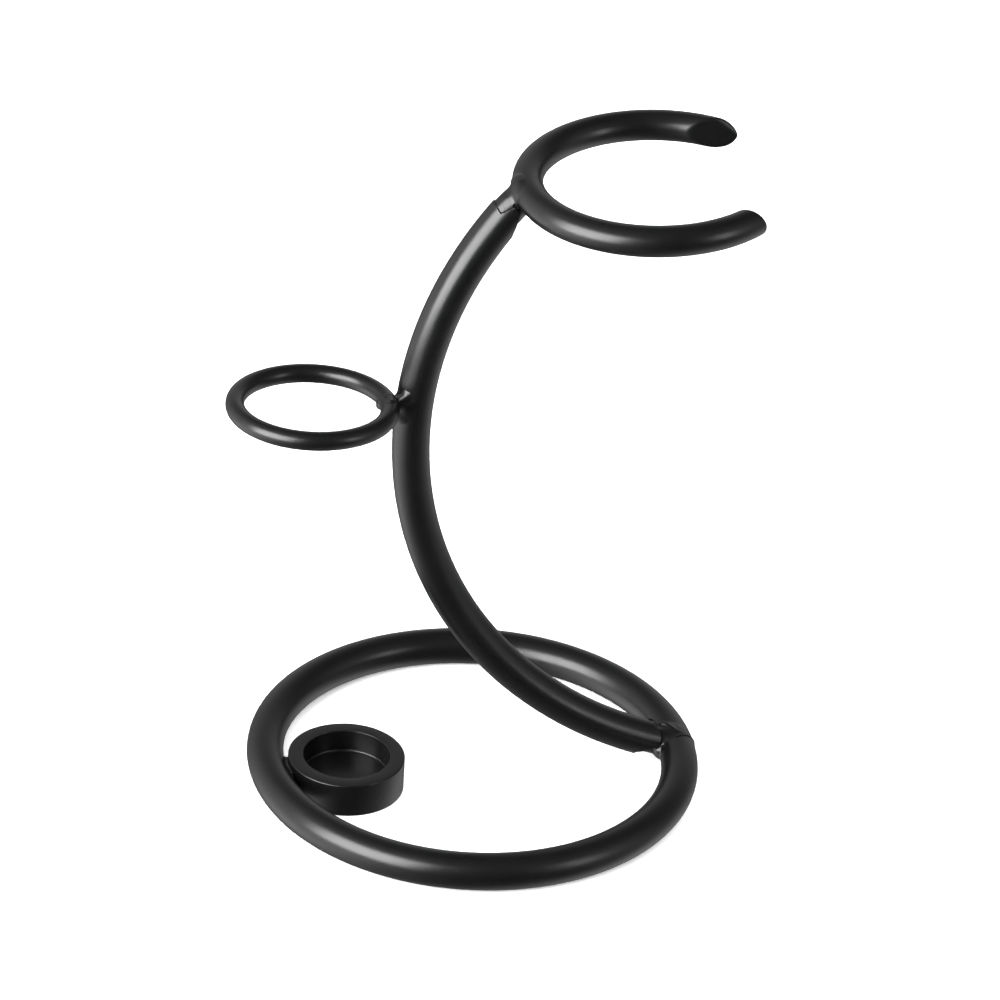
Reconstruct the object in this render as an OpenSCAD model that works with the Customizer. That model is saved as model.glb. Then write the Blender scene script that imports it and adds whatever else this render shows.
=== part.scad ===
// Table stand for a hair dryer and one styling iron, welded from round tube and bar.
// Frame: origin at the centre of the base ring, on the table. +Z is up.
// +X points from the centre to the foot of the stem, so the stem lies in the plane y = 0.

/* [Base ring] */
// Radius of the base ring, to the middle of its tube
base_ring_r = 90; // [85:1:105]
// Diameter of the tube of the base ring and of the stem
tube_d = 16; // [15:0.5:17]
// Wall of that tube
tube_wall = 1.8; // [1.2:0.1:2.2]

/* [Stem] */
// Radius of the stem's bend, to the middle of its tube
stem_bend_r = 167; // [166:1:185]
// Height of the middle of the bend, where the stem bulges furthest back
stem_bulge_z = 169.6; // [162:0.1:172]
// Height of the joint between the stem and the cradle
cradle_joint_z = 282.1; // [272:0.1:295]
// Play between the stem's bore and the solid plug in each end, on the radius
plug_play = 0.1; // [0.05:0.05:0.4]
// Length of each plug along the stem, from the middle of its joint
plug_len = 42; // [30:1:60]

/* [Cradle] */
// Radius of the cradle ring, to the middle of its bar
cradle_r = 52.2; // [50:0.1:56]
// Diameter of the cradle's solid bar
cradle_bar_d = 13; // [12:0.5:14]
// Angle that the cradle's mouth is tipped up
cradle_tip_up = 3.1; // [0:0.1:6]
// Angle that the cradle is turned about the stem
cradle_turn = -2; // [-5:0.1:5]
// Distance from the cradle's middle line to the flat end of its left arm
left_end_y = 39.7; // [38:0.1:42]
// Angle of the end of its right arm round the ring, from the middle of the mouth
right_end_angle = 51; // [47:0.5:56]

/* [Iron ring] */
// Radius of the ring that steadies the iron, to the middle of its bar
iron_ring_r = 32.1; // [28:0.1:36]
// Diameter of its bar
iron_bar_d = 8; // [7:0.5:9]
// Height of its weld on the stem
iron_ring_z = 187.9; // [150:0.1:220]
// Gap between the ring's bar and the stem, filled by the weld
iron_ring_gap = 1.35; // [0.5:0.05:2]
// Angle that the ring points to the right of straight back
iron_ring_turn = 9.9; // [0:0.1:20]

/* [Tip cup] */
// Outside diameter of the cup that holds the iron's tip
cup_od = 50.4; // [48:0.1:54]
// Bore of the cup
cup_bore_d = 37.5; // [33:0.1:40]
// Height of the cup
cup_h = 15.3; // [14:0.1:20]
// Depth of the cup's recess
cup_depth = 10.3; // [8:0.1:11]
// Angle of the cup round the base ring
cup_angle = -174.6; // [-180:0.1:-160]

/* [Welds] */
// Reach of the weld at the foot of the stem
foot_weld_reach = 1.7; // [1.5:0.1:2.4]
// Reach of the weld between the stem and the cradle
head_weld_reach = 1.2; // [1:0.1:2.2]
// Reach of the iron ring's weld over the stem
iron_weld_spread = 3; // [2:0.1:3.5]
// Height of the iron ring's weld above the stem's surface
iron_weld_height = 1.7; // [1.4:0.1:2.6]
// Reach of the two tacks on the cup
cup_weld = 1.6; // [1:0.1:2.2]
// Width of the gap at each butt joint, filled by its weld
butt_gap = 1; // [0.5:0.1:2]

/* [Hidden] */
$fn = 96;

tube_r = tube_d / 2;
bore_r = tube_r - tube_wall;
plug_r = bore_r - plug_play;
cradle_bar_r = cradle_bar_d / 2;
iron_bar_r = iron_bar_d / 2;

// The stem is one arc through the middle of the base ring's tube.
stem_x = base_ring_r + sqrt(pow(stem_bend_r, 2) - pow(stem_bulge_z - tube_r, 2));
foot_angle = 360 - acos((base_ring_r - stem_x) / stem_bend_r);
head_angle = 180 - asin((cradle_joint_z - stem_bulge_z) / stem_bend_r);
iron_angle = 180 - asin((iron_ring_z - stem_bulge_z) / stem_bend_r);
head_x = stem_x + stem_bend_r * cos(head_angle);
iron_joint_x = stem_x + stem_bend_r * cos(iron_angle);
mm_to_deg = 180 / (PI * stem_bend_r);

// Each end of the tube is mitred twice, so a tongue on either side reaches the joint.
// Points are [distance from the joint, distance outwards from the tube's axis].
past_end = -20;
clear_of_tube = 12;
head_mitre = [
    [past_end, clear_of_tube], [12, clear_of_tube], [13.8, 4.5], [7.8, 2.7],
    [7.8, -1], [18, -7.2], [20, -clear_of_tube], [past_end, -clear_of_tube]
];
foot_mitre = [
    [past_end, -clear_of_tube], [12.6, -clear_of_tube], [12.4, -8], [9.6, -6],
    [9.6, -2], [18.4, 4], [19, clear_of_tube], [past_end, clear_of_tube]
];

// The left arm's flat leans by this slope, and its sharp top edge is ground off.
left_end_slope = 0.15;
left_bevel_from = 45;
left_bevel_out = -12;
left_bevel_up = 38;
// The right arm's end is turned and leaned from square by these angles.
right_end_out = -17.6;
right_end_up = 15;

iron_ring_tip = -1.7;
iron_ring_roll = -2.9;

butt_crown = 0.4;
butt_crown_w = 3.6;
base_butt_angle = -0.6;
iron_butt_angle = -6;
crown_clear = 0.5;

cup_rebate = 2;
cup_floor_r = cup_bore_d / 2 + cup_rebate;
cup_edge = 0.8;
cup_x = base_ring_r - tube_r - cup_od / 2;
tack_start_y = 3;
tack_end_y = 8.5;
tack_low_z = 3;
tack_high_z = 12.5;
plate = 60;

coat = [0.09, 0.09, 0.1];
weld_coat = [0.13, 0.13, 0.14];

// A bar or tube bent round the Z axis from angle a0 to a1.
module bent_bar(bend_r, r, a0 = 0, a1 = 360, bore = 0) {
    rotate([0, 0, a0])
        rotate_extrude(angle = a1 - a0)
            translate([bend_r, 0]) difference() {
                circle(r);
                if (bore > 0) circle(bore);
            }
}

module in_stem_plane() {
    translate([stem_x, 0, stem_bulge_z]) rotate([90, 0, 0]) children();
}

module stem_arc(r, a0, a1, bore = 0) {
    in_stem_plane() bent_bar(stem_bend_r, r, a0, a1, bore);
}

// What a mitre takes off the tube at one end; side is 1 at the head and -1 at the foot.
module mitre_cut(angle, side, outline) {
    in_stem_plane() rotate([0, 0, angle]) translate([stem_bend_r, 0, -plate / 2])
        linear_extrude(plate) polygon([for (p = outline) [p[1], side * p[0]]]);
}

module base_bar(r) {
    translate([0, 0, tube_r]) bent_bar(base_ring_r, r);
}

// Places a shape drawn round the centre of the cradle ring.
module at_cradle() {
    translate([head_x, 0, cradle_joint_z]) rotate([0, 0, cradle_turn]) rotate([0, -cradle_tip_up, 0])
        translate([cradle_r, 0, 0]) children();
}

// Places a shape drawn round the centre of the iron ring, with its weld towards +X.
module at_iron_ring() {
    reach = iron_ring_r + iron_bar_r + tube_r + iron_ring_gap;
    translate([iron_joint_x, 0, iron_ring_z]) rotate([0, 0, iron_ring_turn])
        rotate([0, -iron_ring_tip, 0]) rotate([iron_ring_roll, 0, 0])
            translate([-reach, 0, 0]) children();
}

module at_cup() {
    rotate([0, 0, cup_angle]) translate([cup_x, 0, 0]) children();
}

// A block whose face passes through a point of the ring at this angle. It lies
// past the end of an arm: side is 1 for the left arm and -1 for the right.
module end_cut(angle, out, up, side) {
    rotate([0, 0, angle]) translate([cradle_r, 0, 0]) rotate([0, 0, -side * (90 - out)])
        rotate([0, -up, 0]) translate([0, -plate / 2, -plate / 2]) cube(plate);
}

module base_ring() {
    half_gap = butt_gap / 2 / base_ring_r * 180 / PI;
    color(coat) translate([0, 0, tube_r])
        bent_bar(base_ring_r, tube_r, base_butt_angle + half_gap, base_butt_angle + 360 - half_gap, bore_r);
}

module base_ring_butt_weld() {
    half_gap = butt_gap / 2 / base_ring_r * 180 / PI;
    half_crown = butt_crown_w / 2 / base_ring_r * 180 / PI;
    color(weld_coat) translate([0, 0, tube_r]) {
        bent_bar(base_ring_r, tube_r, base_butt_angle - half_gap, base_butt_angle + half_gap, bore_r);
        intersection() {
            bent_bar(base_ring_r, tube_r + butt_crown,
                base_butt_angle - half_crown, base_butt_angle + half_crown, tube_r);
            translate([base_ring_r + crown_clear, -plate / 2, 2 * crown_clear - tube_r]) cube(plate);
        }
    }
}

module stem_tube() {
    color(coat) difference() {
        stem_arc(tube_r, head_angle, foot_angle, bore_r);
        mitre_cut(head_angle, 1, head_mitre);
        mitre_cut(foot_angle, -1, foot_mitre);
    }
}

module foot_plug() {
    color(coat) difference() {
        stem_arc(plug_r, foot_angle - plug_len * mm_to_deg, foot_angle);
        base_bar(tube_r);
    }
}

module head_plug() {
    color(coat) difference() {
        stem_arc(plug_r, head_angle, head_angle + plug_len * mm_to_deg);
        at_cradle() bent_bar(cradle_r, cradle_bar_r);
    }
}

module foot_weld() {
    color(weld_coat) difference() {
        intersection() {
            base_bar(tube_r + foot_weld_reach);
            stem_arc(plug_r + foot_weld_reach, foot_angle - plug_len * mm_to_deg, foot_angle);
        }
        base_bar(tube_r);
        foot_plug();
        stem_tube();
    }
}

module head_weld() {
    color(weld_coat) difference() {
        intersection() {
            at_cradle() bent_bar(cradle_r, cradle_bar_r + head_weld_reach);
            stem_arc(plug_r + head_weld_reach, head_angle, head_angle + plug_len * mm_to_deg);
        }
        at_cradle() bent_bar(cradle_r, cradle_bar_r);
        head_plug();
        stem_tube();
    }
}

module dryer_cradle() {
    mouth = 20;
    color(coat) at_cradle() difference() {
        bent_bar(cradle_r, cradle_bar_r, mouth, 360 - mouth);
        rotate([atan(-left_end_slope), 0, 0])
            translate([0, left_end_y - plate, -plate / 2]) cube(plate);
        end_cut(left_bevel_from, left_bevel_out, left_bevel_up, 1);
        end_cut(-right_end_angle, right_end_out, right_end_up, -1);
    }
}

module iron_ring() {
    half_gap = butt_gap / 2 / iron_ring_r * 180 / PI;
    color(coat) at_iron_ring()
        bent_bar(iron_ring_r, iron_bar_r, iron_butt_angle + half_gap, iron_butt_angle + 360 - half_gap);
}

module iron_ring_butt_weld() {
    half_gap = butt_gap / 2 / iron_ring_r * 180 / PI;
    half_crown = butt_crown_w / 2 / iron_ring_r * 180 / PI;
    color(weld_coat) at_iron_ring() {
        bent_bar(iron_ring_r, iron_bar_r, iron_butt_angle - half_gap, iron_butt_angle + half_gap);
        intersection() {
            bent_bar(iron_ring_r, iron_bar_r + butt_crown,
                iron_butt_angle - half_crown, iron_butt_angle + half_crown, iron_bar_r);
            translate([iron_ring_r - plate, -plate / 2, -plate / 2]) cube(plate);
        }
    }
}

module iron_ring_weld() {
    $fn = 240;
    color(weld_coat) difference() {
        intersection() {
            at_iron_ring() bent_bar(iron_ring_r, iron_bar_r + iron_weld_spread, -30, 30);
            stem_arc(tube_r + iron_weld_height, iron_angle - 10, iron_angle + 10);
        }
        at_iron_ring() bent_bar(iron_ring_r, iron_bar_r, -40, 40);
        stem_arc(tube_r, iron_angle - 15, iron_angle + 15);
    }
}

module cup_wall() {
    floor_h = cup_h - cup_depth;
    ro = cup_od / 2;
    ri = cup_bore_d / 2;
    color(coat) at_cup() rotate_extrude() polygon([
        [cup_floor_r, 0], [ro - cup_edge, 0], [ro, cup_edge], [ro, cup_h - cup_edge],
        [ro - cup_edge, cup_h], [ri, cup_h], [ri, floor_h], [cup_floor_r, floor_h]
    ]);
}

module cup_floor() {
    color(coat) at_cup() cylinder(r = cup_floor_r, h = cup_h - cup_depth);
}

module cup_tack_welds() {
    $fn = 240;
    color(weld_coat) difference() {
        intersection() {
            base_bar(tube_r + cup_weld);
            at_cup() cylinder(r = cup_od / 2 + cup_weld, h = cup_h);
            at_cup() for (side = [-1, 1])
                translate([0, side < 0 ? -tack_end_y : tack_start_y, tack_low_z])
                    cube([plate, tack_end_y - tack_start_y, tack_high_z - tack_low_z]);
        }
        base_bar(tube_r);
        at_cup() cylinder(r = cup_od / 2, h = cup_h);
    }
}

base_ring();
base_ring_butt_weld();
stem_tube();
foot_plug();
head_plug();
foot_weld();
head_weld();
dryer_cradle();
iron_ring();
iron_ring_butt_weld();
iron_ring_weld();
cup_wall();
cup_floor();
cup_tack_welds();
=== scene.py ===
import math

import bmesh
import bpy
import numpy as np
from mathutils import Matrix, Vector, noise


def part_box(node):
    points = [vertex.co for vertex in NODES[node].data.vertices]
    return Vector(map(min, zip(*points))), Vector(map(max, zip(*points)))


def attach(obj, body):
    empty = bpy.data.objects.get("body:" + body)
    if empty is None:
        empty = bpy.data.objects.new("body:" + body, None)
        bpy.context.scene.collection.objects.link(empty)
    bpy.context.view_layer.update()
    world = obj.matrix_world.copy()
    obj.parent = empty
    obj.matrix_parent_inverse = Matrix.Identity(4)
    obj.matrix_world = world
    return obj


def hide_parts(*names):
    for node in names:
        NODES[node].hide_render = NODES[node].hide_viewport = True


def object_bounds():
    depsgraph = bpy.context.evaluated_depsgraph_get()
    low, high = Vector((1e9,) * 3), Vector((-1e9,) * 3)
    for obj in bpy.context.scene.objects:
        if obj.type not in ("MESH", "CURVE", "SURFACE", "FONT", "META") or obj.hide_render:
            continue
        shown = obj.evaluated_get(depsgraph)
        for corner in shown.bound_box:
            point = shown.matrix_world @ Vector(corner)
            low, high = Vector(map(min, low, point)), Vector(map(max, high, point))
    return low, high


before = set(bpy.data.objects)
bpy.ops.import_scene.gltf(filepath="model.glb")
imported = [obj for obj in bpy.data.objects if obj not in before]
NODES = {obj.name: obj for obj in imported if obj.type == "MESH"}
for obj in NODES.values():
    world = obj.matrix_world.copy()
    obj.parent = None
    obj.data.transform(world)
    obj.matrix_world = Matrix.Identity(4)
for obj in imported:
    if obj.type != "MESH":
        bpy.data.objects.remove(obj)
CAD_BOX = [list(corner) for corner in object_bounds()]

# ---------------------------------------------------------------- named values
MM = 0.001

CAMERA_AZIMUTH, CAMERA_ELEVATION, CAMERA_ROLL = -12.4987, 30.0536, 3.7036
CAMERA_PLACE = Vector((-0.424288, -1.936045, 1.283146))
LENS_MM, SENSOR_MM = 195.28, 36.0

# the middle of the object, which the lights face
AIM = Vector((0.0, 0.0, 0.14))

COAT_COLOUR = (0.0012, 0.0012, 0.0014)
COAT_ROUGHNESS = 0.31
GRAIN_COLOUR = (0.005, 0.005, 0.0055, 1.0)
RUBBED_COLOUR = (0.07, 0.07, 0.072, 1.0)
# scales of the coat's noises, in cells a metre
BROAD, PATCHES, LUMPS, PEEL, GRAIN = 28.0, 170.0, 420.0, 900.0, 3200.0
# how much of the rubbed edge and of the grain shows, and how far the coat's tone goes each way
EDGE_GAIN, RUBBED_SHARE, GRAIN_SHARE = 7.0, 0.55, 0.2
DARKER, LIGHTER = 0.8, 1.35
# how much the roughness varies by place and edge, and how high the grain stands beside the orange peel
BROAD_GLOSS, PATCH_GLOSS, EDGE_GLOSS = 0.12, 0.10, 0.05
GRAIN_HEIGHT = 0.25


def direction(azimuth, elevation):
    """Unit vector; azimuth 0 is towards the front (-Y), 90 towards +X."""
    a, e = math.radians(azimuth), math.radians(elevation)
    return Vector((math.sin(a) * math.cos(e), -math.cos(a) * math.cos(e), math.sin(e)))


# ---------------------------------------------------------------- materials
class Tree:
    """Adds nodes to a material or world and links them."""

    def __init__(self, owner):
        owner.use_nodes = True
        self.nodes, self.links = owner.node_tree.nodes, owner.node_tree.links
        self.nodes.clear()

    def add(self, kind, **settings):
        made = self.nodes.new(kind)
        inputs = settings.pop("inputs", {})
        for key, value in settings.items():
            setattr(made, key, value)
        for key, value in inputs.items():
            if isinstance(value, bpy.types.NodeSocket):
                self.links.new(value, made.inputs[key])
            else:
                made.inputs[key].default_value = value
        return made

    def maths(self, operation, a, b=0.0, c=0.0, clamp=False):
        return self.add("ShaderNodeMath", operation=operation, use_clamp=clamp,
                        inputs={0: a, 1: b, 2: c}).outputs[0]

    def vector(self, operation, *values):
        return self.add("ShaderNodeVectorMath", operation=operation,
                        inputs=dict(enumerate(values))).outputs["Value"]

    def place(self):
        return self.add("ShaderNodeTexCoord").outputs["Object"]

    def noise(self, place, scale, detail=2.0, rough=0.5):
        return self.add("ShaderNodeTexNoise", inputs={
            "Vector": place, "Scale": scale, "Detail": detail, "Roughness": rough}).outputs["Fac"]

    def mix(self, share, a, b):
        made = self.add("ShaderNodeMix", data_type="RGBA")
        for index, value in ((0, share), (6, a), (7, b)):
            if isinstance(value, bpy.types.NodeSocket):
                self.links.new(value, made.inputs[index])
            else:
                made.inputs[index].default_value = value
        return made.outputs[2]


def coat(name, peel=0.022, lumps=0.0, round_mm=0.35):
    """Satin black powder coat: orange peel, fine grain, uneven gloss, and edges rubbed a little bare."""
    material = bpy.data.materials.new(name)
    t = Tree(material)
    place = t.place()
    broad = t.noise(place, BROAD, 3.0)
    patch = t.noise(place, PATCHES, 3.0)
    orange = t.noise(place, PEEL, 2.0)
    grain = t.noise(place, GRAIN, 2.0, 0.6)

    # an edge is where the rounded normal turns away from the flat one
    bevel = t.add("ShaderNodeBevel", samples=6, inputs={"Radius": round_mm * MM})
    flat = t.add("ShaderNodeNewGeometry").outputs["Normal"]
    bend = t.vector("DOT_PRODUCT", bevel.outputs[0], flat)
    edge = t.maths("MULTIPLY", t.maths("SUBTRACT", 1.0, bend), EDGE_GAIN, clamp=True)
    here_and_there = t.maths("MULTIPLY", edge, t.maths("GREATER_THAN", patch, 0.5))
    rubbed = t.maths("MULTIPLY", here_and_there, RUBBED_SHARE)

    dark = tuple(c * DARKER for c in COAT_COLOUR) + (1.0,)
    light = tuple(c * LIGHTER for c in COAT_COLOUR) + (1.0,)
    tone = t.mix(broad, dark, light)
    tone = t.mix(t.maths("MULTIPLY", grain, GRAIN_SHARE), tone, GRAIN_COLOUR)
    tone = t.mix(rubbed, tone, RUBBED_COLOUR)
    gloss = t.maths("MULTIPLY_ADD", t.maths("SUBTRACT", broad, 0.5), BROAD_GLOSS, COAT_ROUGHNESS)
    gloss = t.maths("MULTIPLY_ADD", t.maths("SUBTRACT", patch, 0.5), PATCH_GLOSS, gloss)
    gloss = t.maths("MULTIPLY_ADD", edge, EDGE_GLOSS, gloss)

    height = t.maths("MULTIPLY_ADD", grain, GRAIN_HEIGHT, orange)
    if lumps:
        height = t.maths("MULTIPLY_ADD", t.noise(place, LUMPS, 3.0), lumps, height)
    bump = t.add("ShaderNodeBump", inputs={
        "Strength": 1.0, "Distance": peel * MM, "Height": height, "Normal": bevel.outputs[0]})
    shader = t.add("ShaderNodeBsdfPrincipled", inputs={
        "Base Color": tone, "Roughness": gloss, "Metallic": 0.0, "IOR": 1.5, "Normal": bump.outputs[0]})
    t.add("ShaderNodeOutputMaterial", inputs={"Surface": shader.outputs[0]})
    return material


def dress(piece, material):
    piece.data.materials.clear()
    piece.data.materials.append(material)


BAR_COAT = coat("bar_coat")
TUBE_COAT = coat("tube_coat")
CUP_COAT = coat("cup_coat", peel=0.03, round_mm=0.3)
NECK_COAT = coat("neck_coat", peel=0.03, lumps=0.5)
WELD_COAT = coat("weld_coat", peel=0.045, lumps=0.8, round_mm=0.2)

for node, material in {
    "base_ring": TUBE_COAT, "stem_tube": TUBE_COAT, "dryer_cradle": BAR_COAT, "iron_ring": BAR_COAT,
    "cup_wall": CUP_COAT, "cup_floor": CUP_COAT, "foot_plug": NECK_COAT, "head_plug": NECK_COAT,
    "foot_weld": WELD_COAT, "head_weld": WELD_COAT, "iron_ring_weld": WELD_COAT,
    "base_ring_butt_weld": WELD_COAT, "iron_ring_butt_weld": WELD_COAT, "cup_tack_welds": WELD_COAT,
}.items():
    dress(NODES[node], material)


# ---------------------------------------------------------------- pieces
def add_piece(name, mesh, stands_for, material, smooth_angle=math.radians(40)):
    """Puts a new piece in the scene in place of a CAD node."""
    made = bpy.data.objects.new(name, mesh)
    bpy.context.scene.collection.objects.link(made)
    mesh.shade_smooth()
    mesh.set_sharp_from_angle(angle=smooth_angle)
    dress(made, material)
    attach(made, "root")
    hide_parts(stands_for)


def move_out(mesh, amount):
    """Moves each vertex along its normal by amount(position), in metres."""
    spots = [v.co.copy() for v in mesh.vertices]
    normals = [v.normal.copy() for v in mesh.vertices]
    for v, spot, normal in zip(mesh.vertices, spots, normals):
        v.co = spot + normal * amount(spot)
    mesh.update()


# ---- welds: distance fields of the bars and of the weld metal, melted together and skinned
# A field takes points in millimetres and gives the distance to a surface, below 0 inside it.
# How far a skin sinks under its bars, how much further off the metal counts than it is, how round a
# plug's end is, and how wide spatter melts in
SINK, METAL_LEAD, END_ROUND, SPATTER_MELT = 0.14, 0.9, 4.0, 0.5
# further than any surface, and just outside one
FAR, OUTSIDE = 1e9, 0.01
# waves a metre of the beads' unevenness
COARSE, FINE = 480, 1150
# how many times a skin's points slide and how far at most, how far apart the field's slope is
# measured, and the least squared slope that a slide is divided by
SLIDES, SLIDE, PROBE, LEAST_SLOPE = 3, 0.2, 0.02, 0.2


def torus(p, centre, turn, bend, r):
    """Distance to a round bar bent round the local Z axis; turn's columns are the local axes."""
    q = (p - np.array(centre)) @ np.array(turn)
    return np.hypot(np.hypot(q[..., 0], q[..., 1]) - bend, q[..., 2]) - r


def bead(points, radii):
    """The field of a chain of cones through points, with a radius at each."""
    def field(p):
        if len(points) == 1:
            return np.linalg.norm(p - np.array(points[0], float), axis=-1) - radii[0]
        best = np.full(p.shape[:-1], FAR)
        for a, b, ra, rb in zip(points[:-1], points[1:], radii[:-1], radii[1:]):
            a, b = np.array(a, float), np.array(b, float)
            t = np.clip(((p - a) @ (b - a)) / ((b - a) @ (b - a)), 0, 1)
            gap = np.linalg.norm(p - a - t[..., None] * (b - a), axis=-1)
            best = np.minimum(best, gap - ra - t * (rb - ra))
        return best
    return field


def spatter(points, r):
    """Loose round spots of metal, 0.8 to 1.2 times r: a field for each, and how wide it melts in."""
    return [(bead([point], [r * (0.8 + 0.4 * ((7 * i) % 5) / 4)]), SPATTER_MELT)
            for i, point in enumerate(points)]


def seam(bar, point, way, r, depth):
    """The field of a bead round a bar, where a plane through point square to way cuts its surface."""
    return lambda p: np.hypot(bar(p) + depth, (p - np.array(point)) @ np.array(way)) - r


def melt(a, b, k):
    """Union of two fields with a fillet about k wide."""
    h = np.clip(0.5 + 0.5 * (b - a) / k, 0, 1)
    return b + (a - b) * h - k * h * (1 - h)


def carve(a, b, k):
    """What two fields share, its edge rounded about k wide."""
    return -melt(-a, -b, k)


def ramp(x, low, high):
    """0 below low, 1 above high, and a smooth rise between."""
    t = np.clip((x - low) / (high - low), 0, 1)
    return t * t * (3 - 2 * t)


def skin(name, field, lo, hi, step):
    """Surface net of field < 0 in a box, all in millimetres: a mesh in metres, and its points' normals."""
    axes = [np.arange(a, b + step, step) for a, b in zip(lo, hi)]
    grid = np.stack(np.meshgrid(*axes, indexing="ij"), -1)
    value = field(grid)
    # the box's own sides count as outside, so that the net closes
    for k in range(3):
        side = [slice(None)] * 3
        for end in (0, -1):
            side[k] = end
            value[tuple(side)] = np.maximum(value[tuple(side)], OUTSIDE)
    inside = value < 0
    shape = np.array(value.shape) - 1

    def part(data, c):
        """The data at corner c of every cell."""
        return data[c[0]:c[0] + shape[0], c[1]:c[1] + shape[1], c[2]:c[2] + shape[2]]

    # a cell's point is the mean of where the field crosses 0 on its edges
    total, hits = np.zeros((*shape, 3)), np.zeros(tuple(shape))
    for c in [np.array(c) for c in np.ndindex(2, 2, 2)]:
        for k in range(3):
            if c[k]:
                continue
            d = c.copy()
            d[k] = 1
            va, vb = part(value, c), part(value, d)
            cross = part(inside, c) != part(inside, d)
            share = np.where(cross, va / np.where(cross, va - vb, 1.0), 0.0)
            spot = part(grid, c) + share[..., None] * (part(grid, d) - part(grid, c))
            total += np.where(cross[..., None], spot, 0.0)
            hits += cross
    used = hits > 0
    number = np.full(tuple(shape), -1)
    number[used] = np.arange(used.sum())
    points = total[used] / hits[used][:, None]

    # a face joins the four cells round each grid edge that the surface crosses
    faces = []
    for k in range(3):
        u, v = (k + 1) % 3, (k + 2) % 3
        first, second = [slice(1, -1)] * 3, [slice(1, -1)] * 3
        first[k], second[k] = slice(0, -1), slice(1, None)
        a, b = inside[tuple(first)], inside[tuple(second)]
        for flip, where in ((False, a & ~b), (True, b & ~a)):
            at = np.argwhere(where)
            at[:, u] += 1
            at[:, v] += 1
            ring = []
            for du, dv in ((0, 0), (-1, 0), (-1, -1), (0, -1)):
                cell = at.copy()
                cell[:, u] += du
                cell[:, v] += dv
                ring.append(number[cell[:, 0], cell[:, 1], cell[:, 2]])
            quad = np.stack(ring, 1)
            faces.append(quad[:, ::-1] if flip else quad)

    # the points then slide along the field's slope onto the surface
    for _ in range(SLIDES):
        here = field(points)
        slope = np.stack([field(points + PROBE * np.eye(3)[k]) - here for k in range(3)], -1) / PROBE
        size = (slope ** 2).sum(-1, keepdims=True)
        points = points - np.clip(here[:, None] * slope / np.maximum(size, LEAST_SLOPE), -SLIDE, SLIDE)
    mesh = bpy.data.meshes.new(name)
    mesh.from_pydata((points * MM).tolist(), [], np.concatenate(faces).tolist())
    mesh.validate()
    return mesh, slope / np.sqrt(np.maximum(size, 1e-9))


def weld(name, node, first, second, metal, box, fillet=None, cuts=(), reach=(2.2, 4.6), rough=0.05, step=0.3):
    """The skin of two bars and the weld metal on them, melted together.

    metal and cuts are lists of a field and how wide it melts into the rest. Past reach from the
    metal, or from the fillet, the skin sinks under the bars. Without a fillet only the metal shows.
    """
    def field(p):
        a, b = first(p), second(p)
        near = np.maximum(a, b) if fillet else np.full(a.shape, FAR)
        f = melt(a, b, fillet) if fillet else np.minimum(a, b)
        for part, k in metal:
            s = part(p)
            near = np.minimum(near, s + METAL_LEAD)
            f = melt(f, s, k)
        for part, k in cuts:
            f = carve(f, -part(p), k)
        return f + SINK * ramp(near, *reach)

    def uneven(spot):
        return rough * MM * (noise.noise(spot * COARSE) + 0.5 * noise.noise(spot * FINE))

    mesh, _ = skin(name, field, *box, step)
    move_out(mesh, uneven)
    add_piece(name, mesh, node, WELD_COAT, smooth_angle=math.radians(75))


def turned(azimuth=0.0, tip=0.0, roll=0.0):
    """A ring's axes, as columns: rolled about X, the +X side tipped up, then turned about Z."""
    made = (Matrix.Rotation(math.radians(azimuth), 3, "Z") @ Matrix.Rotation(math.radians(-tip), 3, "Y")
            @ Matrix.Rotation(math.radians(roll), 3, "X"))
    return np.array(made)


# ---- the bars' centre lines, in millimetres, as the CAD has them
BASE_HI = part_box("base_ring")[1]
TUBE_R = BASE_HI.z / 2 / MM
BASE_R = BASE_HI.x / MM - TUBE_R
PLUG_R, BEND_R, BULGE_Z = 6.1, 167.0, 169.6
STEM_X = BASE_R + math.sqrt(BEND_R ** 2 - (BULGE_Z - TUBE_R) ** 2)
CRADLE_R, CRADLE_BAR_R, CRADLE_Z = 52.2, 6.5, 282.1
IRON_R, IRON_BAR_R, IRON_Z, IRON_GAP = 32.1, 4.0, 187.9, 1.35
CRADLE_TURN = turned(-2.0, 3.1)
IRON_TURN = turned(9.9, -1.7, -2.9)
STEM_TURN = np.array(((1, 0, 0), (0, 0, -1), (0, 1, 0)), float)


def stem_x_at(z):
    return STEM_X - math.sqrt(BEND_R ** 2 - (z - BULGE_Z) ** 2)


FOOT = np.array((BASE_R, 0.0, TUBE_R))
HEAD = np.array((stem_x_at(CRADLE_Z), 0.0, CRADLE_Z))
CRADLE_CENTRE = HEAD + CRADLE_TURN @ np.array((CRADLE_R, 0, 0))
IRON_SPOT = np.array((stem_x_at(IRON_Z), 0.0, IRON_Z))
IRON_CENTRE = IRON_SPOT - IRON_TURN @ np.array((IRON_R + IRON_BAR_R + TUBE_R + IRON_GAP, 0, 0))


def base_bar(p):
    return torus(p, (0, 0, TUBE_R), np.eye(3), BASE_R, TUBE_R)


def stem_bar(p, r=TUBE_R):
    return torus(p, (STEM_X, 0, BULGE_Z), STEM_TURN, BEND_R, r)


def cradle_bar(p):
    return torus(p, CRADLE_CENTRE, CRADLE_TURN, CRADLE_R, CRADLE_BAR_R)


def iron_bar(p):
    return torus(p, IRON_CENTRE, IRON_TURN, IRON_R, IRON_BAR_R)


def plug_end(joint, way):
    """The field of the stem's plug, ended at a joint with a rounded edge; way points out of the end."""
    return lambda p: carve(stem_bar(p, PLUG_R), (p - joint) @ np.array(way), END_ROUND)


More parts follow.
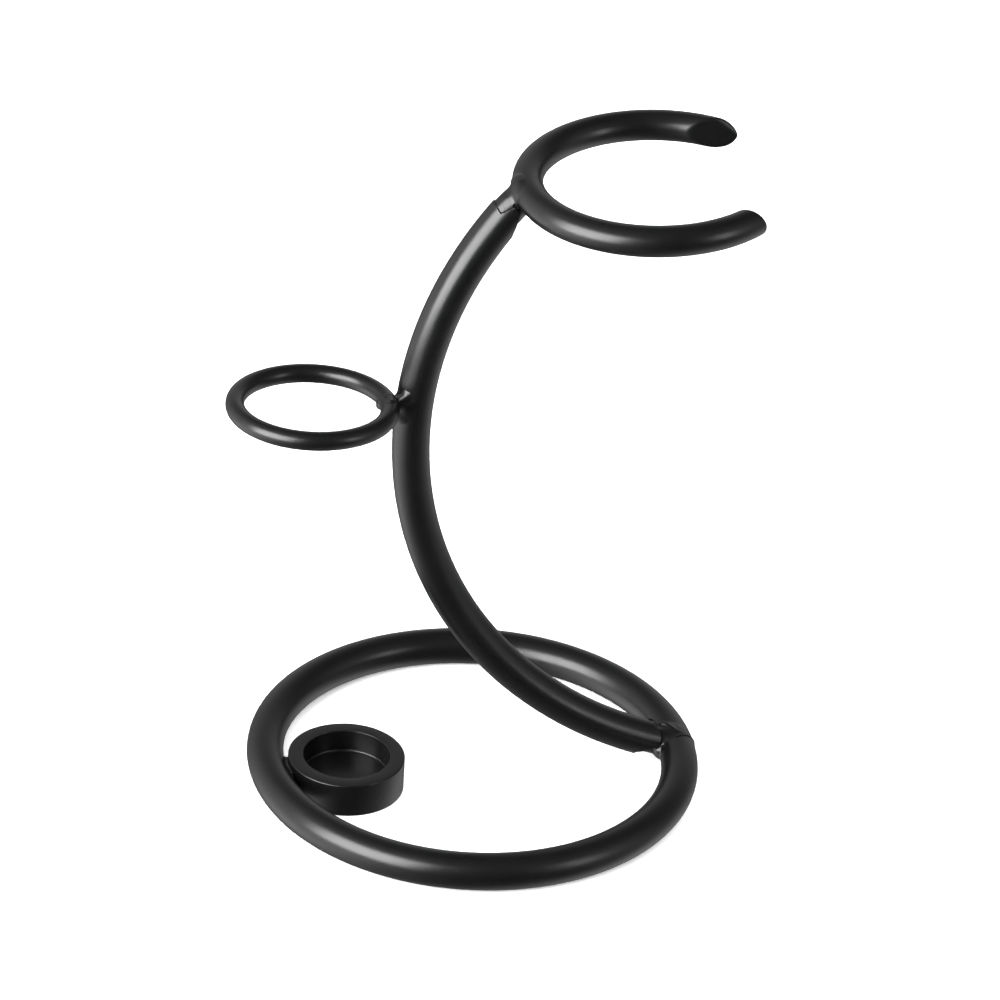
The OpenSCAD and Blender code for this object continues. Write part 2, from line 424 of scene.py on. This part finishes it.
def add_foot_weld():
    """Stem to base ring: a bead over the top, one round the near side, and a blob behind."""
    way = (0.968, 0.0, -0.252)
    over = bead(((84.2, 4.6, 15.9), (86.0, 3.2, 16.2), (87.8, 1.0, 15.9), (89.3, -1.6, 15.3),
                 (91.6, -2.6, 14.7)), (1.1, 1.2, 1.0, 0.9, 0.7))
    under = bead(((81.0, -6.8, 9.4), (81.6, -6.0, 7.0), (82.0, -4.0, 5.2), (82.2, 0.0, 4.2)),
                 (1.0, 1.0, 1.1, 1.1))
    blob = bead(((78.8, 3.0, 17.8),), (2.2,))
    pit = bead(((82.9, -8.2, 12.0),), (0.9,))
    weld("foot_weld_bead", "foot_weld", base_bar, plug_end(FOOT, way), fillet=4.0,
         metal=[(over, 1.2), (under, 1.8), (blob, 1.8)], cuts=[(pit, 0.6)],
         box=((70, -14, 0.2), (101, 14, 24)), reach=(2.0, 6.0))


def add_head_weld():
    """Stem to cradle: metal that fills the neck out to the bar, and a bead over the back of it."""
    way = np.array((0.674, 0.0, 0.739))
    neck = HEAD - way * 9.0 + np.array((-0.739, 0.0, 0.674)) * 0.9
    fill = bead((neck - way * 3.6, neck, HEAD - way * 3.0), (6.1, 6.1, 5.6))
    over = bead([HEAD + np.array(p) for p in ((-4.4, 6.0, 1.6), (-3.8, 2.5, 2.8), (-3.7, -1.5, 3.0),
                                              (-4.4, -5.2, 1.6))], (1.1, 1.3, 1.3, 1.1))
    pit = bead(((2.2, -6.3, 278.4),), (0.9,))
    weld("head_weld_bead", "head_weld", cradle_bar, plug_end(HEAD, way), fillet=4.0,
         metal=[(fill, 2.0), (over, 3.0)], cuts=[(pit, 0.4)],
         box=((-8, -14, 266), (22, 16, 294)), reach=(2.0, 6.5), rough=0.035)


def add_iron_ring_weld():
    """Small ring to stem: metal in the gap, a smear up the stem, and beads and spatter on the ring."""
    gap = bead(((-38.6, -1.2, 183.6), (-37.9, -2.4, 185.2)), (6.0, 5.2))
    smear = bead(((-43.4, -3.4, 185.3), (-41.0, -4.6, 188.2), (-38.9, -5.3, 190.9)), (1.9, 1.8, 1.4))
    under = bead(((-42.0, -2.4, 181.9), (-40.9, -4.2, 184.6), (-39.0, -5.9, 187.0)), (1.1, 1.1, 0.6))
    inner = bead(((-49.6, -4.9, 187.0),), (1.9,))
    top = bead(((-46.6, -12.6, 192.6), (-45.6, -11.6, 192.4)), (1.15, 1.0))
    across = bead(((-48.2, -9.0, 189.6), (-45.4, -9.6, 190.2), (-43.4, -8.6, 189.0)), (1.2, 1.5, 1.4))
    loose = spatter(((-49.3, -4.4, 191.2), (-48.4, -7.0, 192.0), (-46.2, -12.6, 192.4),
                     (-45.2, -6.6, 191.4)), 0.5)
    weld("iron_ring_weld_bead", "iron_ring_weld", iron_bar, stem_bar, fillet=1.6,
         metal=[(gap, 2.0), (smear, 1.8), (under, 1.4), (inner, 1.2), (top, 0.5), (across, 1.4), *loose],
         box=((-56, -18, 178), (-30, 14, 200)), reach=(1.6, 4.0), step=0.25)


def add_base_ring_seam():
    """The butt weld of the base ring, just in front of the stem's foot."""
    around = seam(base_bar, (92.5, -4.9, 8.0), (-0.316, 0.949, 0.0), 0.5, 0.1)

    def proud(p):
        """It dies away towards the stem, x 90 to 85, and where the ring meets the table, z 5 to 2."""
        bare = np.maximum(ramp(-p[..., 0], -90, -85), ramp(-p[..., 2], -5, -2))
        return around(p) + 0.9 * bare

    weld("base_ring_seam_bead", "base_ring_butt_weld", base_bar, base_bar, metal=[(proud, 0.5)],
         box=((80, -13, -0.4), (99.5, 4, 17.5)), reach=(1.5, 3.0), rough=0.04, step=0.25)


def add_iron_ring_seam():
    """The butt weld of the small ring, beside its weld to the stem."""
    angle = math.radians(-6.0)
    spot = IRON_CENTRE + IRON_TURN @ np.array((IRON_R * math.cos(angle), IRON_R * math.sin(angle), 0))
    along = IRON_TURN @ np.array((-math.sin(angle), math.cos(angle), 0))
    weld("iron_ring_seam_bead", "iron_ring_butt_weld", iron_bar, iron_bar,
         metal=[(seam(iron_bar, spot, along, 0.6, 0.8), 0.7)],
         box=(spot - 7, spot + 7), reach=(1.4, 2.4), step=0.25)


add_foot_weld()
add_head_weld()
add_iron_ring_weld()
add_base_ring_seam()
add_iron_ring_seam()

# ---- cup: turned wall and floor, with rounded lips and a thin line of coat in the corner
CUP_LO, CUP_HI = (np.array(corner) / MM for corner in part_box("cup_wall"))
CUP_CENTRE, CUP_R, CUP_H = (CUP_LO + CUP_HI) / 2, (CUP_HI[0] - CUP_LO[0]) / 2, CUP_HI[2]
CUP_BORE_R, CUP_FLOOR_H, CUP_FLOOR_R = 18.75, 5.0, 20.75
# how round the outer and inner lips and the coat in the corner are
LIP, INNER_LIP, CORNER = 0.55, 0.2, 0.7
# how far the disc tucks under and into the wall, and how far the tacks' skin keeps off the bore
TUCK, BORE_CLEARANCE = 0.1, 2


def arc(r, z, radius, start, end, steps=6):
    """Points on an arc round (r, z), from start to end in degrees."""
    turns = [math.radians(start + (end - start) * i / steps) for i in range(steps + 1)]
    return [(r + radius * math.cos(t), z + radius * math.sin(t)) for t in turns]


def lathe(name, profile, closed, count=192):
    """A profile of (radius, height) in millimetres, turned round the cup's axis."""
    mesh = bpy.data.meshes.new(name)
    turns = [2 * math.pi * i / count for i in range(count)]
    spots = [((CUP_CENTRE[0] + r * math.cos(t)) * MM, (CUP_CENTRE[1] + r * math.sin(t)) * MM, z * MM)
             for r, z in profile for t in turns]
    n = len(profile)
    faces = []
    for k in range(n if closed else n - 1):
        here, there = k * count, (k + 1) % n * count
        faces += [(here + i, here + (i + 1) % count, there + (i + 1) % count, there + i)
                  for i in range(count)]
    if not closed:
        faces += [tuple(reversed(range(count))), tuple(range((n - 1) * count, n * count))]
    mesh.from_pydata(spots, [], faces)
    mesh.validate()
    work = bmesh.new()
    work.from_mesh(mesh)
    bmesh.ops.recalc_face_normals(work, faces=work.faces)
    work.to_mesh(mesh)
    work.free()
    return mesh


def add_cup_wall():
    profile = (arc(CUP_R - LIP, CUP_H - LIP, LIP, 0, 90)
               + arc(CUP_BORE_R + INNER_LIP, CUP_H - INNER_LIP, INNER_LIP, 90, 180)
               + [(CUP_BORE_R, CUP_FLOOR_H), (CUP_FLOOR_R, CUP_FLOOR_H), (CUP_FLOOR_R, 0.0)]
               + arc(CUP_R - LIP, LIP, LIP, -90, 0))
    mesh = lathe("cup_turned_wall", profile, True)
    add_piece("cup_turned_wall", mesh, "cup_wall", CUP_COAT)


def add_cup_floor():
    """The disc, with coat that has run up the wall in its corner."""
    profile = ([(CUP_FLOOR_R, 0.0), (CUP_FLOOR_R, CUP_FLOOR_H - TUCK),
                (CUP_BORE_R + TUCK, CUP_FLOOR_H - TUCK), (CUP_BORE_R + TUCK, CUP_FLOOR_H + CORNER)]
               + arc(CUP_BORE_R - CORNER, CUP_FLOOR_H + CORNER, CORNER, 0, -90)
               + [(CUP_BORE_R / 2, CUP_FLOOR_H)])
    mesh = lathe("cup_floor_disc", profile, False)
    add_piece("cup_floor_disc", mesh, "cup_floor", CUP_COAT)


def cup_shell(p):
    """The field of the cup's outer wall, kept clear of its bore."""
    r = np.hypot(p[..., 0] - CUP_CENTRE[0], p[..., 1] - CUP_CENTRE[1])
    return np.maximum(np.maximum(r - CUP_R, CUP_BORE_R + BORE_CLEARANCE - r), p[..., 2] - CUP_H)


def add_cup_tacks():
    """Two tack welds in the crook between the cup and the base ring."""
    back = bead(((-82.2, 2.2, 9.2), (-82.3, 0.4, 10.8), (-82.2, -3.0, 10.6)), (1.2, 1.2, 0.9))
    front = bead(((-82.2, -3.0, 10.6), (-81.7, -8.6, 11.6), (-80.8, -11.2, 11.0), (-80.2, -12.6, 9.4)),
                 (0.9, 1.1, 1.2, 0.9))
    loose = spatter(((-79.6, -13.4, 12.4), (-81.2, -4.0, 12.6)), 0.45)
    weld("cup_tack_beads", "cup_tack_welds", base_bar, cup_shell,
         metal=[(back, 1.0), (front, 1.0), *loose],
         box=((-90, -20, 0.2), (-72, 10, 16)), reach=(1.3, 2.4), rough=0.12, step=0.25)


add_cup_wall()
add_cup_floor()
add_cup_tacks()


# ---- cradle: one bent bar, its two ends cut and their edges rubbed round
def cut(angle, out, up, side):
    """A flat cut through the bar at an angle round the ring: its point, and its way off the arm's end.

    The way is turned outwards and up by so many degrees. side is 1 on the left arm, -1 on the right.
    """
    a, turn, rise = math.radians(angle), math.radians(angle - side * (90 - out)), math.radians(up)
    way = (math.cos(rise) * math.cos(turn), math.cos(rise) * math.sin(turn), math.sin(rise))
    return np.array((CRADLE_R * math.cos(a), CRADLE_R * math.sin(a), 0.0)), np.array(way)


LEFT_END_Y, LEFT_LEAN = 39.7, math.atan(0.15)
LEFT_WAY = np.array((0.0, -math.cos(LEFT_LEAN), math.sin(LEFT_LEAN)))
LEFT_FLAT = (-LEFT_END_Y * LEFT_WAY, LEFT_WAY)
LEFT_BEVEL = cut(45, -12, 38, 1)
RIGHT_FLAT = cut(-51, -17.6, 15, -1)
# how round the cuts' edges are, and how far the right arm runs past its cut, as its edge is rounder
LEFT_ROUND, BEVEL_ROUND, RIGHT_ROUND = 0.8, 1.2, 1.7
RIGHT_EXTRA = 0.5
# the skin's step, and how far its box stands off the bar
CRADLE_STEP, CRADLE_MARGIN = 0.45, 1.5


def cradle_shape(p):
    """The open ring: the left arm has an oblique cut and a ground bevel, the right arm one cut."""
    q = (p - CRADLE_CENTRE) @ CRADLE_TURN

    def beyond(flat):
        return (q - flat[0]) @ flat[1]

    bar = cradle_bar(p)
    left = carve(carve(bar, beyond(LEFT_FLAT), LEFT_ROUND), beyond(LEFT_BEVEL), BEVEL_ROUND)
    right = carve(bar, beyond(RIGHT_FLAT) - RIGHT_EXTRA, RIGHT_ROUND)
    return np.where(q[..., 0] < 0, bar, np.where(q[..., 1] > 0, left, right))


def add_cradle():
    lo, hi = (np.array(corner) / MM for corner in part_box("dryer_cradle"))
    mesh, normals = skin("cradle_bent_bar", cradle_shape, lo - CRADLE_MARGIN, hi + CRADLE_MARGIN, CRADLE_STEP)
    add_piece("cradle_bent_bar", mesh, "dryer_cradle", BAR_COAT, smooth_angle=math.pi)
    mesh.normals_split_custom_set_from_vertices(normals.tolist())


add_cradle()


# ---- rings: whole bent bars with even faces
def add_ring(name, node, centre, turn, bend, r, material, around, along):
    """A ring of round bar, with around faces about the bar and along faces about the ring."""
    mesh = bpy.data.meshes.new(name)
    spots = []
    for i in range(along):
        a = 2 * math.pi * i / along
        for j in range(around):
            b = 2 * math.pi * j / around
            reach = bend + r * math.cos(b)
            local = np.array((reach * math.cos(a), reach * math.sin(a), r * math.sin(b)))
            spots.append(tuple((np.array(centre) + turn @ local) * MM))
    faces = []
    for i in range(along):
        here, there = i * around, (i + 1) % along * around
        faces += [(here + j, there + j, there + (j + 1) % around, here + (j + 1) % around)
                  for j in range(around)]
    mesh.from_pydata(spots, [], faces)
    mesh.validate()
    add_piece(name, mesh, node, material, smooth_angle=math.pi)


add_ring("base_ring_bent_tube", "base_ring", (0, 0, TUBE_R), np.eye(3), BASE_R, TUBE_R, TUBE_COAT, 64, 360)
add_ring("iron_ring_bent_bar", "iron_ring", IRON_CENTRE, IRON_TURN, IRON_R, IRON_BAR_R, BAR_COAT, 48, 192)

# ---------------------------------------------------------------- stage, light, camera
FLOOR_HALF, FLOOR_DROP = 8.0, 0.02 * MM
FLOOR_GLOW, GLOW_RISES_FROM = 0.3, 0.5
FLOOR_MOTTLE, FLOOR_TONES = 6.0, ((0.90, 0.90, 0.90, 1), (0.93, 0.93, 0.93, 1))
BACKDROP_R = 7.0
# soft boxes: angles in degrees, distances in metres
KEY = dict(azimuth=-63.0, elevation=20.5, distance=1.25, half_wide=24.0, half_high=23.0, radiance=12.6)
STRIP = dict(azimuth=44.0, elevation=17.0, distance=1.6, half_wide=5.0, half_high=14.0, radiance=4.5)
OVERHEAD = dict(azimuth=0.0, elevation=90.0, distance=2.4, half_wide=58.0, half_high=58.0, radiance=2.3)
SKY_BASE = 0.03
# azimuth, elevation, sharpness, strength of each soft patch of light in the surroundings
SKY_PATCHES = [
    (-75, -14, 14.0, 1.7), (-118, 35, 8.0, 0.35), (-80, 58, 9.0, 0.35), (-110, -33, 9.0, 1.75),
    (-122, 6, 9.0, 0.75), (-60, -32, 9.0, 0.35), (62, 8, 9.0, 0.45), (60, 38, 9.0, 0.25),
    (105, -32, 9.0, 0.60), (100, -60, 9.0, 0.60), (55, -60, 9.0, 0.25), (150, 8, 9.0, 0.40),
    (178, 10, 9.0, 0.35),
]


def add_stage(name, mesh, material):
    made = bpy.data.objects.new(name, mesh)
    bpy.context.scene.collection.objects.link(made)
    dress(made, material)
    made.visible_glossy = False
    return made


def floor():
    """White paint that glows a little, and more further out, so that shadows and horizon stay pale."""
    mesh = bpy.data.meshes.new("floor")
    h = FLOOR_HALF
    mesh.from_pydata([(-h, -h, 0), (h, -h, 0), (h, h, 0), (-h, h, 0)], [], [(0, 1, 2, 3)])
    material = bpy.data.materials.new("floor_paint")
    t = Tree(material)
    tone = t.mix(t.noise(t.place(), FLOOR_MOTTLE, 2.0), *FLOOR_TONES)
    paint = t.add("ShaderNodeBsdfDiffuse", inputs={"Color": tone})
    further = t.maths("SUBTRACT", t.vector("LENGTH", t.place()), GLOW_RISES_FROM, clamp=True)
    glow = t.add("ShaderNodeEmission", inputs={"Strength": t.maths("ADD", further, FLOOR_GLOW)})
    both = t.add("ShaderNodeAddShader", inputs={0: paint.outputs[0], 1: glow.outputs[0]})
    t.add("ShaderNodeOutputMaterial", inputs={"Surface": both.outputs[0]})
    made = add_stage("floor", mesh, material)
    made.location.z = CAD_BOX[0][2] - FLOOR_DROP


def backdrop():
    """A white dome behind everything, seen but lighting nothing."""
    mesh = bpy.data.meshes.new("backdrop")
    work = bmesh.new()
    bmesh.ops.create_uvsphere(work, u_segments=48, v_segments=24, radius=BACKDROP_R)
    work.to_mesh(mesh)
    work.free()
    material = bpy.data.materials.new("backdrop_paint")
    t = Tree(material)
    shader = t.add("ShaderNodeEmission", inputs={"Color": (1, 1, 1, 1), "Strength": 1.0})
    t.add("ShaderNodeOutputMaterial", inputs={"Surface": shader.outputs[0]})
    made = add_stage("backdrop", mesh, material)
    for kind in ("diffuse", "transmission", "shadow"):
        setattr(made, f"visible_{kind}", False)


def panel(name, azimuth, elevation, distance, half_wide, half_high, radiance):
    """A rectangular soft box, sized by the angles it fills as seen from the object."""
    lamp = bpy.data.lights.new(name, "AREA")
    lamp.shape = "RECTANGLE"
    lamp.size = 2 * distance * math.tan(math.radians(half_wide))
    lamp.size_y = 2 * distance * math.tan(math.radians(half_high))
    lamp.energy = radiance * math.pi * lamp.size * lamp.size_y
    made = bpy.data.objects.new(name, lamp)
    bpy.context.scene.collection.objects.link(made)
    away = direction(azimuth, elevation)
    made.location = AIM + away * distance
    made.rotation_euler = away.to_track_quat("Z", "Y").to_euler()
    return made


def sky():
    """Dim surroundings with soft patches of light, which the bars reflect."""
    world = bpy.data.worlds.new("studio")
    bpy.context.scene.world = world
    t = Tree(world)
    way = t.add("ShaderNodeTexCoord").outputs["Generated"]
    total = SKY_BASE
    for azimuth, elevation, sharp, strength in SKY_PATCHES:
        near = t.vector("DOT_PRODUCT", way, direction(azimuth, elevation))
        lobe = t.maths("EXPONENT", t.maths("MULTIPLY", t.maths("SUBTRACT", near, 1.0), sharp))
        total = t.maths("MULTIPLY_ADD", lobe, strength, total)
    shader = t.add("ShaderNodeBackground", inputs={"Color": (1, 1, 1, 1), "Strength": total})
    t.add("ShaderNodeOutputWorld", inputs={"Surface": shader.outputs[0]})


def camera():
    """At the photo's place and angle, rolled a little, as the photo is."""
    data = bpy.data.cameras.new("camera")
    data.sensor_width, data.lens = SENSOR_MM, LENS_MM
    data.clip_start, data.clip_end = 0.05, 100.0
    made = bpy.data.objects.new("camera", data)
    bpy.context.scene.collection.objects.link(made)
    back = direction(CAMERA_AZIMUTH, CAMERA_ELEVATION)
    a, roll = math.radians(CAMERA_AZIMUTH), math.radians(CAMERA_ROLL)
    level = Vector((math.cos(a), math.sin(a), 0.0))
    rise = back.cross(level)
    right = level * math.cos(roll) + rise * math.sin(roll)
    up = rise * math.cos(roll) - level * math.sin(roll)
    turn = Matrix((right, up, back)).transposed()
    made.matrix_world = Matrix.Translation(CAMERA_PLACE) @ turn.to_4x4()
    bpy.context.scene.camera = made


floor()
backdrop()
panel("key_panel", **KEY)
panel("strip_panel", **STRIP)
overhead = panel("overhead_panel", **OVERHEAD)
overhead.visible_glossy = False
sky()
camera()
bpy.context.scene.view_settings.view_transform = "Standard"
bpy.context.scene.view_settings.look = "None"
